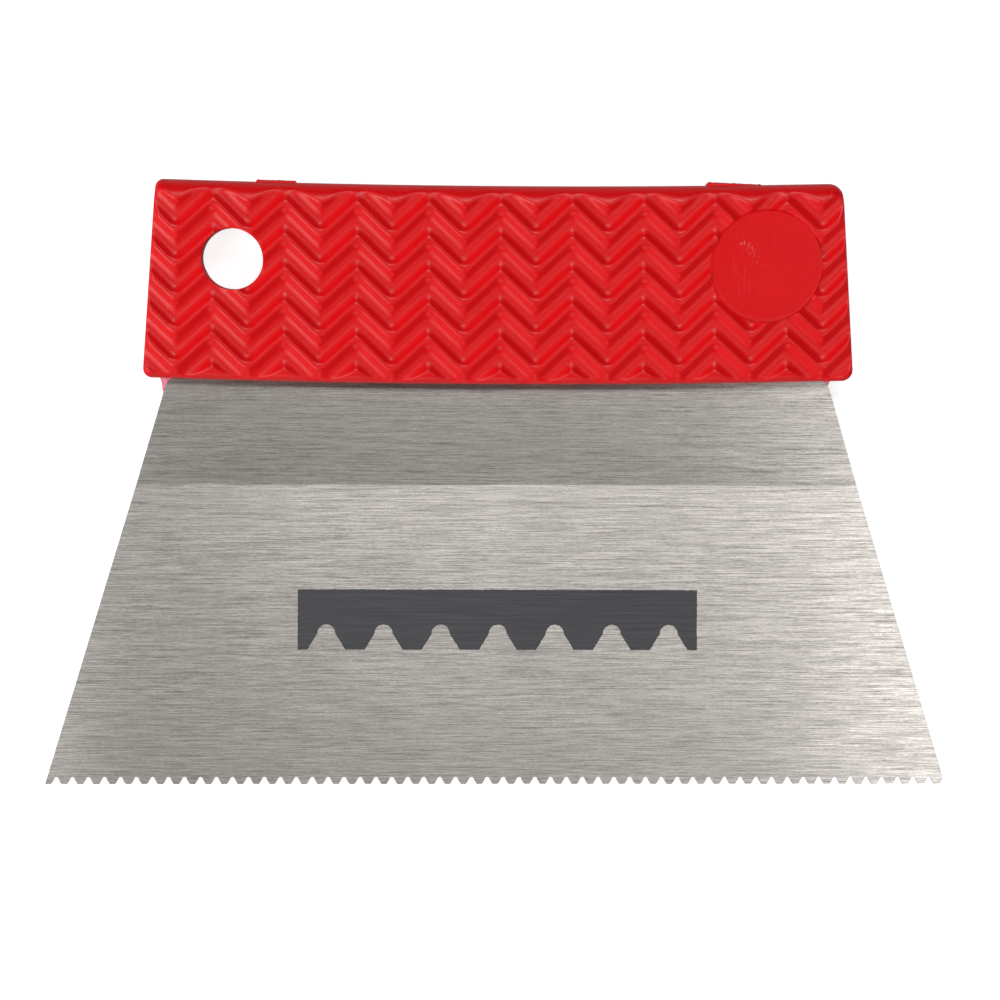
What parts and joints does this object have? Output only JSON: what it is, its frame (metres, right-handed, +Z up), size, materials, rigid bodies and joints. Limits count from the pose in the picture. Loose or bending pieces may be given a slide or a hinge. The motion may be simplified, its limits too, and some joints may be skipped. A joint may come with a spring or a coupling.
{
  "type": "notched trowel",
  "caption": "Flat steel spreader blade with a fine notched edge and a slight crank, in a slim soft grip with chevron grooves and a hang hole.",
  "frame": {"origin": "on the surface that the tool lies on, below the middle of its bounding box", "axes": "+X along the notched edge, +Y from the notched edge to the grip, +Z up out of the front face"},
  "size_m": [0.1796, 0.1202, 0.0132],
  "materials": {
    "steel": "spring steel, brushed along the notched edge",
    "grip_plastic": "soft PVC, satin, coloured through"
  },
  "bodies": {
    "root": {"blade": "steel", "grip": "grip_plastic"}
  },
  "joints": []
}
